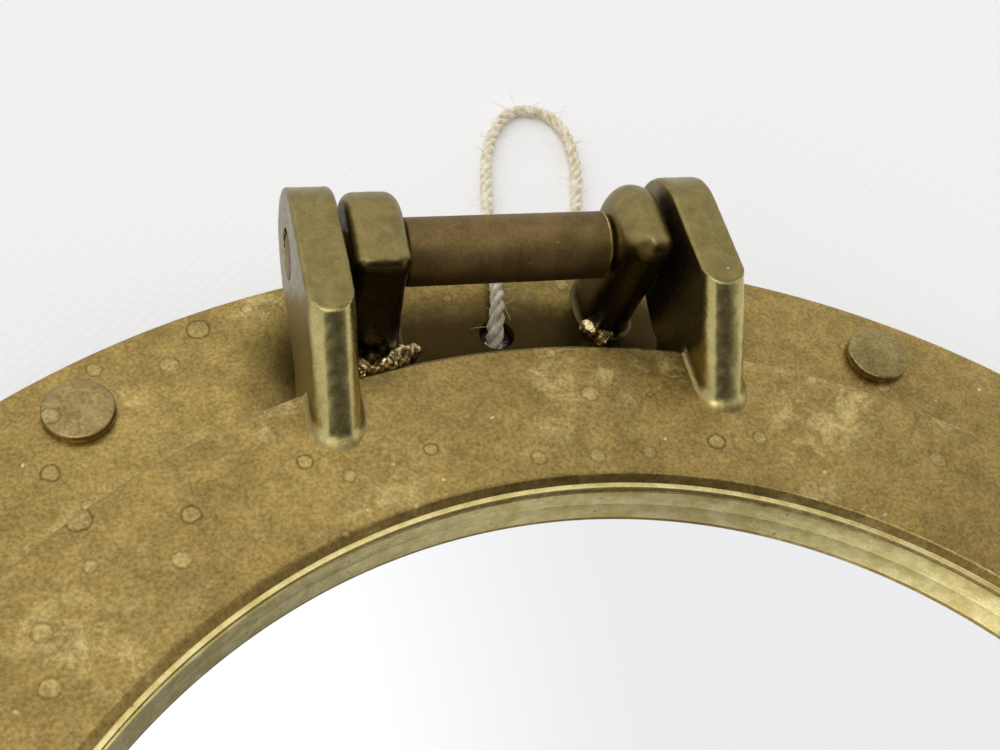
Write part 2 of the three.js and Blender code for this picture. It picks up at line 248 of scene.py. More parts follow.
def surface_nets(field, low, high, step):
    """Points, faces and normals of the surface where field is 0 inside a box. The box's own sides close it."""
    low, high = np.array(low, float), np.array(high, float)
    counts = np.ceil((high - low) / step).astype(int) + 1
    x, y, z = np.meshgrid(*[low[i] + step * np.arange(counts[i]) for i in range(3)], indexing="ij")
    value = field(x, y, z)
    for axis in range(3):
        side = [slice(None)] * 3
        for end in (0, -1):
            side[axis] = end
            value[tuple(side)] = np.maximum(value[tuple(side)], 0.01 * step)
    inside = value < 0
    corners = [(i, j, k) for i in (0, 1) for j in (0, 1) for k in (0, 1)]

    def at(grid, corner):
        return grid[tuple(slice(c, n - 1 + c) for c, n in zip(corner, counts))]

    held = sum(at(inside, c).astype(np.int8) for c in corners)
    cells = np.argwhere((held > 0) & (held < 8))
    total = np.zeros((len(cells), 3))
    crossings = np.zeros(len(cells))
    for a in corners:
        for axis in range(3):
            if a[axis]:
                continue
            b = tuple(c + (i == axis) for i, c in enumerate(a))
            va = value[tuple((cells + a).T)]
            vb = value[tuple((cells + b).T)]
            crosses = (va < 0) != (vb < 0)
            share = np.where(crosses, va / np.where(crosses, va - vb, 1), 0)
            spot = cells + np.array(a) + share[:, None] * (np.arange(3) == axis)
            total += spot * crosses[:, None]
            crossings += crosses
    points = low + step * total / crossings[:, None]
    number = np.full(counts - 1, -1)
    number[tuple(cells.T)] = np.arange(len(cells))
    faces = []
    for axis in range(3):
        u, v = [i for i in range(3) if i != axis]
        one, two = [slice(1, n - 1) for n in counts], [slice(1, n - 1) for n in counts]
        one[axis], two[axis] = slice(0, counts[axis] - 1), slice(1, counts[axis])
        first, second = inside[tuple(one)], inside[tuple(two)]
        edges = np.argwhere(first != second)
        offset = np.array([1, 1, 1])
        offset[axis] = 0
        edges = edges + offset
        outward = inside[tuple(edges.T)]
        quad = []
        for du, dv in ((-1, -1), (0, -1), (0, 0), (-1, 0)):
            cell = edges.copy()
            cell[:, u] += du
            cell[:, v] += dv
            quad.append(number[tuple(cell.T)])
        quad = np.array(quad).T
        flip = outward if axis == 1 else ~outward
        quad[flip] = quad[flip][:, ::-1]
        faces.append(quad)
    reach = 0.02 * step
    normals = np.zeros_like(points)
    for _ in range(3):
        here = field(*points.T)
        for axis in range(3):
            aside = points.copy()
            aside[:, axis] += reach
            normals[:, axis] = (field(*aside.T) - here) / reach
        size = np.maximum(np.linalg.norm(normals, axis=1), 1e-6)
        inner = np.all((points > low + step) & (points < high - step), axis=1)
        move = np.clip(here / size, -step, step) * inner
        points = points - normals / size[:, None] * move[:, None]
    return points, np.concatenate(faces), normals / size[:, None]


def add_solid(name, field, low, high, step, material, body, slot, stands_for=(), place=None):
    """A piece from a distance field. place turns it to where it belongs."""
    points, faces, normals = surface_nets(field, low, high, step)
    if place is not None:
        place = np.array(place)
        points = points @ place[:3, :3].T + place[:3, 3]
        normals = normals @ place[:3, :3].T
    return add_piece(name, points, faces, material, body, slot, stands_for, normals)


# ---- materials ----
class Shades:
    """A procedural material whose nodes are made by short calls. Its coordinates are the piece's millimetres."""

    def __init__(self, name):
        self.material = bpy.data.materials.new(name)
        self.material.use_nodes = True
        self.tree = self.material.node_tree
        self.tree.nodes.clear()
        self.shader = self.tree.nodes.new("ShaderNodeBsdfPrincipled")
        output = self.tree.nodes.new("ShaderNodeOutputMaterial")
        self.tree.links.new(self.shader.outputs["BSDF"], output.inputs["Surface"])
        where = self.tree.nodes.new("ShaderNodeTexCoord")
        self.facing = where.outputs["Normal"]
        self.place = self.vector("MULTIPLY", where.outputs["Object"], (1 / MM,) * 3)

    def put(self, socket, value):
        if isinstance(value, bpy.types.NodeSocket):
            self.tree.links.new(value, socket)
        elif isinstance(value, (tuple, list)) and socket.type == "RGBA":
            socket.default_value = (*value, 1) if len(value) == 3 else value
        else:
            socket.default_value = value

    def make(self, kind, settings, inputs):
        node = self.tree.nodes.new(kind)
        for key, value in settings.items():
            setattr(node, key, value)
        for key, value in inputs.items():
            self.put(node.inputs[key], value)
        return node

    def set(self, **inputs):
        for key, value in inputs.items():
            self.put(self.shader.inputs[key.replace("_", " ")], value)

    def vector(self, operation, a, b=(0, 0, 0)):
        return self.make("ShaderNodeVectorMath", {"operation": operation}, {0: a, 1: b}).outputs[0]

    def math(self, operation, a, b=0.0):
        return self.make("ShaderNodeMath", {"operation": operation}, {0: a, 1: b}).outputs[0]

    def parts(self, vector):
        return self.make("ShaderNodeSeparateXYZ", {}, {0: vector}).outputs

    def flat(self, x, y):
        return self.make("ShaderNodeCombineXYZ", {}, {0: x, 1: y}).outputs[0]

    def stretched(self, *shares):
        """The coordinates scaled axis by axis: a small share draws a pattern out along its axis."""
        return self.vector("MULTIPLY", self.place, shares)

    def noise(self, scale, detail=3, rough=0.5, warp=0.0, place=None, color=False):
        inputs = {"Vector": place or self.place, "Scale": scale, "Detail": detail, "Roughness": rough,
                  "Distortion": warp}
        node = self.make("ShaderNodeTexNoise", {}, inputs)
        return node.outputs["Color" if color else "Fac"]

    def cells(self, scale, place=None, flat=False):
        """The distance from the middle of a random cell, and three random values of that cell."""
        settings = {"voronoi_dimensions": "2D" if flat else "3D"}
        node = self.make("ShaderNodeTexVoronoi", settings, {"Vector": place or self.place, "Scale": scale})
        return node.outputs["Distance"], self.parts(node.outputs["Color"])

    def step(self, value, low, high, to_low=0.0, to_high=1.0):
        """Smoothly from to_low, where value is low, to to_high, where it is high."""
        inputs = {"Value": value, "From Min": low, "From Max": high, "To Min": to_low, "To Max": to_high}
        return self.make("ShaderNodeMapRange", {"interpolation_type": "SMOOTHSTEP"}, inputs).outputs[0]

    def mix(self, share, a, b, blend="MIX"):
        node = self.make("ShaderNodeMix", {"data_type": "RGBA", "blend_type": blend}, {0: share, 6: a, 7: b})
        return node.outputs[2]

    def bump(self, height, depth, under=None):
        """depth is in millimetres for a height of 1. under is a coarser bump that this one adds to."""
        inputs = {"Strength": 1.0, "Distance": depth * MM, "Height": height}
        if under is not None:
            inputs["Normal"] = under
        return self.make("ShaderNodeBump", {}, inputs).outputs[0]


def times(s, *values):
    """The product of sockets and numbers."""
    product = values[0]
    for value in values[1:]:
        product = s.math("MULTIPLY", product, value)
    return product


def specks(s, scale, inner, outer, rare, place=None, pick=0):
    """Round specks that fade from inner to outer, in the cells whose random value is within or above rare."""
    distance, picks = s.cells(scale, place)
    return times(s, s.step(distance, inner, outer, 1, 0), s.step(picks[pick], *rare))


def water_spots(s, scale, place, smallest, largest, share):
    """Outlines and insides of dried drops: one in each cell of a warped grid, for that share of the cells."""
    distance, picks = s.cells(scale, place, flat=True)
    radius = s.step(picks[0], 0, 1, smallest * scale, largest * scale)
    chosen = s.step(picks[1], 1 - share - 0.01, 1 - share)
    beyond = s.math("SUBTRACT", distance, radius)
    outline = times(s, s.step(s.math("ABSOLUTE", beyond), 0.08 * scale, 0.35 * scale, 1, 0), chosen)
    inside = times(s, s.step(beyond, -0.2 * scale, 0.1 * scale, 1, 0), chosen)
    return outline, inside


def aged_brass(name, base, shade, pale, gold, rough, grime_and_shade=0.0):
    """Old brass: slow changes of tone, pale worn clouds with ragged edges, gold blotches, dried drops and specks.

    The last argument is how much it is darkened under the hinge: painted shade, and grime where no cloth reaches.
    """
    s = Shades(name)
    up = s.step(s.parts(s.facing)[2], 0.6, 0.9)
    warp = s.vector("MULTIPLY", s.vector("SUBTRACT", s.noise(0.5, 3, color=True), (0.5,) * 3), (3.0,) * 3)
    bent = s.vector("ADD", s.place, warp)
    x, y, _ = s.parts(bent)
    ground = s.flat(x, y)
    color = s.mix(s.step(s.noise(0.022, 4, 0.6), 0.35, 0.68), shade, base)
    # pale clouds, ragged at their edges
    cloud = s.step(s.noise(0.03, 2, 0.5, place=s.vector("ADD", s.place, (37, 11, 0))), 0.5, 0.62)
    ragged = s.step(s.noise(0.16, 9, 0.72, 0.6), 0.47, 0.6)
    worn = times(s, cloud, ragged)
    color = s.mix(times(s, worn, 0.62), color, pale)
    # gold blotches
    blotch_far, picks = s.cells(0.028, ground, flat=True)
    blotch_edge = s.math("ADD", blotch_far, s.step(s.noise(0.4, 7, 0.7), 0.2, 0.8, -0.035, 0.035))
    blotch = times(s, s.step(blotch_edge, 0.06, 0.11, 1, 0), s.step(picks[1], 0.6, 0.65), up)
    color = s.mix(times(s, blotch, s.step(s.noise(1.7, 5, 0.75), 0.3, 0.65, 0.3, 0.75)), color, gold)
    # dried drops in two sizes
    spot_x, spot_y, _ = s.parts(s.vector("ADD", s.place, s.vector("MULTIPLY", warp, (0.3,) * 3)))
    spot_ground = s.flat(spot_x, spot_y)
    outline, inside = water_spots(s, 0.05, spot_ground, 1.0, 2.3, 0.4)
    shifted = s.vector("ADD", spot_ground, (53, 29, 0))
    small_outline, small_inside = water_spots(s, 0.11, shifted, 0.5, 1.5, 0.4)
    color = s.mix(times(s, inside, up, 0.22), color, pale)
    color = s.mix(times(s, small_inside, up, 0.3), color, pale)
    dark = tuple(c * 0.25 for c in base)
    color = s.mix(times(s, outline, up, 0.6), color, dark)
    color = s.mix(times(s, small_outline, up, 0.35), color, dark)
    # pale specks
    speck_place = s.vector("ADD", s.place, s.vector("MULTIPLY", warp, (0.5,) * 3))
    speck = times(s, specks(s, 0.42, 0.05, 0.2, (0.9, 0.97), speck_place), up)
    color = s.mix(times(s, speck, 0.6), color, tuple(min(1, c * 1.5 + 0.05) for c in pale))
    # mottling and fine grain
    for scale, depth in ((0.22, 0.2), (1.6, 0.3)):
        tone = s.step(s.noise(scale, 6, 0.7), 0.3, 0.7)
        color = s.mix(1.0, color, s.mix(tone, (1 - depth,) * 3, (1 + depth,) * 3), "MULTIPLY")
    # pits
    pit = specks(s, 0.2, 0.03, 0.08, (0.82, 0.86), s.vector("ADD", s.place, (7, 3, 5)), pick=2)
    color = s.mix(times(s, pit, 0.7), color, dark)
    if grime_and_shade:
        # painted shade and grime under the hinge: darkest along it, gone 17 mm away from it
        aside = s.math("MAXIMUM", s.math("SUBTRACT", s.math("ABSOLUTE", x), 28.0), 0.0)
        along = s.math("SUBTRACT", y, HINGE_Y - 4)
        away = s.math("SQRT", s.math("ADD", times(s, aside, aside), times(s, along, along)))
        color = s.mix(times(s, s.step(away, 4, 17, 1, 0), grime_and_shade), color, (0.036, 0.022, 0.005))
    roughness = s.step(s.noise(0.3, 5, 0.6), 0.2, 0.8, rough - 0.07, rough + 0.08)
    roughness = s.math("ADD", roughness, times(s, worn, 0.08))
    pitted = s.math("SUBTRACT", s.noise(1.4, 6, 0.7), times(s, pit, 1.5))
    normal = s.bump(s.noise(0.12, 2), 0.25, under=s.bump(pitted, 0.035))
    s.set(Base_Color=color, Metallic=1.0, Roughness=roughness, Normal=normal)
    return s.material


def filed_casting(name, tarnished, polished, rough, grime_and_shade=0.0):
    """A casting that was filed and handled: tarnished, with painted shade on the faces turned sideways, and of the
    polished colour on the faces turned to the front: real polish on the lugs, a near-black painted dark reflection
    on the knuckles.

    The last argument is how much it is darkened below the hinge pin: painted shade, and grime.
    """
    s = Shades(name)
    facing = s.parts(s.facing)
    facing_front = s.math("MULTIPLY", facing[1], -1.0)
    # the faces turned to the front take the second colour: real polish on the lugs, a painted dark reflection on
    # the knuckles
    front = times(s, s.step(facing_front, 0.12, 0.45), s.step(facing[2], 0.8, 0.97, 1, 0))
    patches = s.step(s.noise(0.35, 6, 0.65, 0.4), 0.3, 0.7)
    dull = s.mix(patches, tuple(c * 0.72 for c in tarnished), tarnished)
    bright = s.mix(patches, tuple(c * 0.78 for c in polished), polished)
    tone = s.mix(front, dull, bright)
    # painted shade on the faces turned sideways
    painted_side_shade = s.step(s.math("ABSOLUTE", facing[0]), 0.85, 0.98, 0, 0.55)
    tone = s.mix(painted_side_shade, tone, tuple(c * 0.4 for c in tarnished))
    grain = s.noise(2.6, 4, 0.75)
    color = s.mix(1.0, tone, s.mix(grain, (0.6,) * 3, (1.4,) * 3), "MULTIPLY")
    color = s.mix(times(s, specks(s, 0.5, 0.05, 0.17, (0.9, 0.95)), 0.55), color, (0.75, 0.66, 0.38))
    if grime_and_shade:
        # painted shade and grime towards the foot, below the hinge pin
        low = s.step(s.parts(s.place)[2], HINGE_Z - 12, HINGE_Z + 3, 1, 0)
        color = s.mix(times(s, low, grime_and_shade), color, tuple(c * 0.2 for c in tarnished))
    file_marks = s.noise(3.2, 3, 0.7, place=s.stretched(0.12, 1, 1))
    roughness = s.step(s.noise(0.8, 5, 0.6), 0.25, 0.75, rough - 0.05, rough + 0.07)
    roughness = s.math("SUBTRACT", roughness, times(s, front, 0.1))
    normal = s.bump(s.noise(0.25, 3), 0.12, under=s.bump(file_marks, 0.014))
    normal = s.bump(s.noise(1.6, 5, 0.7), 0.02, under=normal)
    s.set(Base_Color=color, Metallic=1.0, Roughness=roughness, Normal=normal)
    return s.material


def plain_metal(name, base, dark, rough):
    """Brass that was handled: darker in random patches, with dark specks and a fine unevenness."""
    s = Shades(name)
    tone = s.mix(s.step(s.noise(0.25, 6, 0.65), 0.35, 0.65), dark, base)
    grain = s.noise(2.2, 4, 0.7)
    color = s.mix(1.0, tone, s.mix(grain, (0.8,) * 3, (1.2,) * 3), "MULTIPLY")
    pit = specks(s, 0.55, 0.08, 0.22, (0.8, 0.85), pick=1)
    color = s.mix(times(s, pit, 0.7), color, tuple(c * 0.25 for c in dark))
    roughness = s.step(s.noise(0.6, 5, 0.6), 0.2, 0.8, rough - 0.06, rough + 0.08)
    s.set(Base_Color=color, Metallic=1.0, Roughness=roughness, Normal=s.bump(s.noise(1.5, 7, 0.75), 0.02))
    return s.material


def turned_bronze(name, base, dark, rough):
    """A dark rod or tube along X, with the fine rings that a lathe leaves and a few scratches along it."""
    s = Shades(name)
    rings = s.noise(3.2, 3, 0.8, place=s.stretched(1, 0.04, 0.04))
    tone = s.mix(s.step(s.noise(0.2, 5, 0.6), 0.3, 0.7), dark, base)
    color = s.mix(1.0, tone, s.mix(rings, (0.75,) * 3, (1.25,) * 3), "MULTIPLY")
    color = s.mix(1.0, color, s.mix(s.noise(2.4, 4, 0.75), (0.45,) * 3, (1.55,) * 3), "MULTIPLY")
    scratch = s.step(s.noise(1.6, 3, 0.8, 0.5, place=s.stretched(0.12, 1, 1)), 0.66, 0.74)
    color = s.mix(times(s, scratch, 0.6), color, tuple(min(1, c * 2.6) for c in base))
    roughness = s.step(rings, 0.3, 0.7, rough - 0.05, rough + 0.1)
    normal = s.bump(s.noise(0.8, 5, 0.6), 0.02, under=s.bump(rings, 0.03))
    s.set(Base_Color=color, Metallic=1.0, Roughness=roughness, Normal=normal)
    return s.material


def braze_metal():
    """Bright lumpy filler metal at the foot of a knuckle."""
    s = Shades("braze")
    lumps = s.noise(0.5, 4, 0.55)
    pits = s.step(s.noise(0.8, 4, 0.6), 0.4, 0.5)
    melted = s.mix(s.step(lumps, 0.42, 0.6), (0.34, 0.23, 0.08), (0.9, 0.7, 0.36))
    color = s.mix(pits, (0.1, 0.06, 0.02), melted)
    roughness = s.step(lumps, 0.3, 0.7, 0.34, 0.2)
    s.set(Base_Color=color, Metallic=1.0, Roughness=roughness, Normal=s.bump(s.noise(1.2, 5, 0.6), 0.09))
    return s.material


def mirror_silver():
    """Silvered glass, clean but for a faint haze and a few specks of dust."""
    s = Shades("mirror_silver")
    dust = specks(s, 0.12, 0.03, 0.06, (0.9, 0.92))
    s.set(
        Base_Color=s.mix(times(s, dust, 0.5), (0.95, 0.955, 0.965), (0.55, 0.58, 0.55)),
        Metallic=1.0,
        Roughness=s.step(s.noise(0.05, 3), 0.3, 0.7, 0.01, 0.025),
    )
    return s.material


def soft_rubber():
    s = Shades("soft_rubber")
    grain = s.noise(3, 4)
    s.set(Base_Color=s.mix(grain, (0.012,) * 3, (0.035,) * 3), Roughness=0.75, Normal=s.bump(grain, 0.03))
    return s.material


def pressed_board():
    """The mesh side of hardboard."""
    s = Shades("pressed_board")
    fibres = s.noise(0.9, 8, 0.75, 1.5)
    x, y, _ = s.parts(s.place)
    weave = s.math("MULTIPLY", s.math("SINE", times(s, x, 3.6)), s.math("SINE", times(s, y, 3.6)))
    color = s.mix(fibres, (0.11, 0.055, 0.025), (0.3, 0.17, 0.085))
    s.set(Base_Color=color, Roughness=0.85, Normal=s.bump(weave, 0.12, under=s.bump(fibres, 0.2)))
    return s.material


def natural_twine():
    s = Shades("natural_twine")
    tone = s.noise(0.7, 4, 0.6)
    fibres = s.noise(5, 3, 0.7)
    color = s.mix(s.step(tone, 0.35, 0.65), (0.7, 0.58, 0.36), (0.96, 0.91, 0.76))
    color = s.mix(1.0, color, s.mix(fibres, (0.8,) * 3, (1.15,) * 3), "MULTIPLY")
    s.set(Base_Color=color, Roughness=0.85, Sheen_Weight=0.3, Normal=s.bump(fibres, 0.08))
    return s.material


def table_cloth():
    """White cloth with a faint weave."""
    s = Shades("table_cloth")
    x, y, _ = s.parts(s.place)
    weave = s.math("MULTIPLY", s.math("SINE", times(s, x, 2.2)), s.math("SINE", times(s, y, 2.2)))
    s.set(Base_Color=(0.94, 0.94, 0.94), Roughness=0.9, Normal=s.bump(weave, 0.03))
    return s.material


MATERIAL = {
    # the flange's last figure darkens it under the hinge with painted shade and grime
    "flange": aged_brass("flange_brass", (0.37, 0.262, 0.083), (0.28, 0.196, 0.062), (0.66, 0.53, 0.22),
                         (0.60, 0.44, 0.12), 0.36, grime_and_shade=0.96),
    "door": aged_brass("door_brass", (0.38, 0.268, 0.086), (0.3, 0.208, 0.066), (0.62, 0.49, 0.2),
                       (0.58, 0.46, 0.14), 0.34),
    "lug": filed_casting("lug_brass", (0.3, 0.237, 0.088), (0.56, 0.47, 0.19), 0.34),
    # the knuckles' near-black second colour is a painted dark reflection on their fronts; their last figure adds
    # painted shade and grime at their foot
    "knuckle": filed_casting("knuckle_brass", (0.29, 0.225, 0.085), (0.1, 0.075, 0.026), 0.4, grime_and_shade=0.85),
    "rivet": aged_brass("rivet_brass", (0.33, 0.25, 0.1), (0.22, 0.165, 0.065), (0.55, 0.44, 0.18),
                        (0.5, 0.4, 0.14), 0.3),
    "lip": plain_metal("lip_brass", (0.95, 0.81, 0.38), (0.7, 0.57, 0.2), 0.24),
    "bright": plain_metal("bright_brass", (0.55, 0.42, 0.19), (0.3, 0.21, 0.08), 0.26),
    "bronze": turned_bronze("turned_bronze", (0.235, 0.16, 0.062), (0.15, 0.1, 0.037), 0.55),
    "braze": braze_metal(),
    "mirror": mirror_silver(),
    "rubber": soft_rubber(),
    "board": pressed_board(),
    "twine": natural_twine(),
    "cloth": table_cloth(),
}


# ---- hanging string ----
# In metres: up out of the hole, over the flange's edge, round the loop on the table and back under the flange.
STRING_ROUTE = [
    (0.0042, 0.1274, 0.0044),
    (0.0033, 0.1296, 0.0086),
    (0.0029, 0.1314, 0.0128),
    (0.0030, 0.1334, 0.0168),
    (0.0036, 0.1366, 0.0190),
    (0.0045, 0.1414, 0.0194),
    (0.0056, 0.1464, 0.0193),
    (0.0069, 0.1514, 0.0179),
    (0.0080, 0.1548, 0.0139),
    (0.0090, 0.1578, 0.0088),
    (0.0103, 0.1619, 0.0044),
    (0.0119, 0.1674, 0.0021),
    (0.0134, 0.1744, 0.0016),
    (0.0148, 0.1820, 0.0016),
    (0.0168, 0.1904, 0.0016),
    (0.0202, 0.1982, 0.0016),
    (0.0260, 0.2038, 0.0016),
    (0.0322, 0.2030, 0.0016),
    (0.0356, 0.1972, 0.0016),
    (0.0359, 0.1896, 0.0016),
    (0.0343, 0.1810, 0.0016),
    (0.0318, 0.1724, 0.0016),
    (0.0288, 0.1630, 0.0016),
    (0.0253, 0.1534, 0.0016),
    (0.0212, 0.1442, 0.0016),
    (0.0168, 0.1362, 0.0019),
    (0.0132, 0.1306, 0.0028),
]
STRING_RADIUS = 1.3


def smooth_line(points, step):
    """Points every step along a centripetal Catmull-Rom curve through the given points."""
    points = np.asarray(points, float)
    points = np.vstack([2 * points[0] - points[1], points, 2 * points[-1] - points[-2]])
    fine = []
    for p0, p1, p2, p3 in zip(points, points[1:], points[2:], points[3:]):
        knots = np.cumsum([0] + [math.sqrt(np.linalg.norm(b - a)) for a, b in ((p0, p1), (p1, p2), (p2, p3))])
        t = np.linspace(knots[1], knots[2], 40, endpoint=False)[:, None]

        def between(a, b, start, end):
            return a * (end - t) / (end - start) + b * (t - start) / (end - start)

        a1, a2, a3 = (between(a, b, *knots[i:i + 2]) for i, (a, b) in enumerate(((p0, p1), (p1, p2), (p2, p3))))
        b1, b2 = between(a1, a2, knots[0], knots[2]), between(a2, a3, knots[1], knots[3])
        fine.append(between(b1, b2, knots[1], knots[2]))
    fine = np.vstack(fine + [points[-2][None]])
    along = np.r_[0, np.cumsum(np.linalg.norm(np.diff(fine, axis=0), axis=1))]
    places = np.linspace(0, along[-1], max(2, round(along[-1] / step)))
    return np.array([np.interp(places, along, fine[:, i]) for i in range(3)]).T


def strand_frame(line):
    """Two directions across a line at each of its points, carried along it without twisting."""
    ahead = np.gradient(line, axis=0)
    ahead /= np.linalg.norm(ahead, axis=1)[:, None]
    side = np.zeros_like(line)
    side[0] = np.cross(ahead[0], (0.3, 0.2, 1.0))
    side[0] /= np.linalg.norm(side[0])
    for i in range(1, len(line)):
        across = side[i - 1] - ahead[i] * (side[i - 1] @ ahead[i])
        side[i] = across / np.linalg.norm(across)
    return side, np.cross(ahead, side)


def tube_mesh(line, radii, sides):
    """Points and faces of a closed tube with a radius for each point of its line."""
    side, other = strand_frame(line)
    points = []
    for k in range(sides):
        turn = 2 * math.pi * k / sides
        points.append(line + np.asarray(radii)[:, None] * (math.cos(turn) * side + math.sin(turn) * other))
    points = np.stack(points, 1).reshape(-1, 3)
    faces = []
    for i in range(len(line) - 1):
        for k in range(sides):
            j = (k + 1) % sides
            faces.append([i * sides + k, i * sides + j, (i + 1) * sides + j, (i + 1) * sides + k])
    faces.append(list(range(sides))[::-1])
    faces.append(list(range((len(line) - 1) * sides, len(line) * sides)))
    return points, faces


def joined_meshes(meshes):
    points, faces, count = [], [], 0
    for some, links in meshes:
        points.append(some)
        faces.extend([[count + c for c in face] for face in links])
        count += len(some)
    return np.vstack(points), faces


def twisted_rope(line, radius, pitch, strands=3, sides=8, loose=0.0):
    """Strands laid round a line, together as thick as radius. Near its start they open by the share loose."""
    side, other = strand_frame(line)
    along = np.r_[0, np.cumsum(np.linalg.norm(np.diff(line, axis=0), axis=1))]
    offset = radius * 0.5 * (1 + loose * (ramp(along, 0, 5) - ramp(along, 13, 20)))
    meshes = []
    for k in range(strands):
        turn = 2 * math.pi * (along / pitch + k / strands)
        outward = np.cos(turn)[:, None] * side + np.sin(turn)[:, None] * other
        swell = 1 + 0.08 * np.sin(along * 1.3 + 2 * k) + 0.05 * np.sin(along * 3.1 + k)
        meshes.append(tube_mesh(line + offset[:, None] * outward, offset * swell, sides))
    return joined_meshes(meshes)


def loose_fibres(line, radius, count, random):
    """Thin hairs that stand off the string, each a short bent tube."""
    meshes = []
    for _ in range(count):
        start = line[random.integers(5, len(line) - 12)]
        away = random.normal(size=3)
        away[2] = abs(away[2]) * 0.7
        away /= np.linalg.norm(away)
        bend = random.normal(size=3) * 0.6
        bend[2] = abs(bend[2]) * 0.4
        length = random.uniform(1.2, 4.0)
        t = np.linspace(0, 1, 6)[:, None]
        path = start + away * (radius * 0.6 + length * t) + bend * length * 0.5 * t * t
        path[:, 2] = np.maximum(path[:, 2], 0.15)
        meshes.append(tube_mesh(path, np.linspace(0.07, 0.03, 6), 4))
    return joined_meshes(meshes)


def make_string():
    """The string, its loose fibres and the knot under the flange, which is a rope along a knotted loop."""
    random = np.random.default_rng(7)
    pitch, look = 7.5, (MATERIAL["twine"], "frame", "twine")
    line = smooth_line(np.array(STRING_ROUTE) / MM, 0.5)
    points, faces = twisted_rope(line, STRING_RADIUS, pitch, loose=0.25)
    points[:, 2] = np.maximum(points[:, 2], 0.05)
    string = add_piece("string", points, faces, *look, ["hanging_string"], sharp=70)
    fibres = add_piece("string_fibres", *loose_fibres(line, STRING_RADIUS, 170, random), *look, sharp=70)
    low, high = node_box("string_knot")
    middle, size = (low + high) / 2, (high - low) / 2
    t = np.linspace(0, 2 * math.pi, 90)
    loop = np.array([np.sin(t) + 2 * np.sin(2 * t), np.cos(t) - 2 * np.cos(2 * t), -1.5 * np.sin(3 * t)]).T / 3
    tight = STRING_RADIUS * 0.85
    knot = add_piece("knot", *twisted_rope(middle + loop * (size - tight), tight, pitch), *look, ["string_knot"],
                     sharp=70)


# ---- frame ----
def make_flange():
    """The flange, with the string's countersunk hole cut through it."""
    hole_x, hole_y = 2.9, 132.2
    corners = [
        (BORE_RADIUS, FLANGE_BOTTOM, 0.4), (FLANGE_RADIUS, FLANGE_BOTTOM, 0.5),
        (FLANGE_RADIUS, FLANGE_TOP, FLANGE_EDGE), (BORE_RADIUS, FLANGE_TOP, 0.4),
    ]
    flange = add_turned("flange", corners, 288, MATERIAL["flange"], "frame", "aged_brass", ["flange_plate"])
    bit = [(0, FLANGE_BOTTOM - 1, 0), (2.4, FLANGE_BOTTOM - 1, 0), (2.4, FLANGE_TOP - 0.9, 0.8),
           (3.4, FLANGE_TOP + 0.3, 0), (3.4, FLANGE_TOP + 1, 0), (0, FLANGE_TOP + 1, 0)]
    points, faces = lathe(rounded(bit), 48)
    mesh = bpy.data.meshes.new("hole")
    mesh.from_pydata(((points + (hole_x, hole_y, 0)) * MM).tolist(), [], faces)
    cutter = add_object("hole", mesh)
    cut = flange.modifiers.new("hole", "BOOLEAN")
    cut.operation, cut.solver, cut.object = "DIFFERENCE", "EXACT", cutter
    bpy.context.view_layer.update()
    finished = bpy.data.meshes.new_from_object(flange.evaluated_get(bpy.context.evaluated_depsgraph_get()))
    flange.modifiers.clear()
    flange.data = finished
    finished.set_sharp_from_angle(angle=math.radians(35))
    bpy.data.objects.remove(cutter)


def make_spigot():
    inner, outer = BORE_RADIUS, float(SPIGOT_HIGH[0])
    low, high = float(SPIGOT_LOW[2]), FLANGE_BOTTOM
    corners = [(inner, low, 0.6), (outer, low, 0.6), (outer, high, 0), (inner, high, 0)]
    add_turned("spigot", corners, 192, MATERIAL["flange"], "frame", "aged_brass", ["spigot_ring"])


def make_rivets():
    random = np.random.default_rng(3)
    for number in range(1, 7):
        name = f"flange_rivet_{number}"
        low, high = node_box(name)
        bottom, top = float(low[2]), float(high[2])
        shank, tail, head = 3, 4.5, float(high[0] - low[0]) / 2
        corners = [
            (0, bottom, 0), (tail, bottom, 0.5), (tail, FLANGE_BOTTOM, 0), (shank, FLANGE_BOTTOM, 0),
            (shank, FLANGE_TOP, 0), (head, FLANGE_TOP, 0.15), (head, top - 0.12, 0.5), (head - 2, top, 4),
            (0, top, 0),
        ]
        middle = (low + high) / 2
        turn = Matrix.Rotation(random.uniform(0, 2 * math.pi), 4, "Z")
        place = Matrix.Translation((middle[0], middle[1], 0)) @ turn
        add_turned(f"rivet_{number}", corners, 56, MATERIAL["rivet"], "frame", "aged_brass", [name], place)


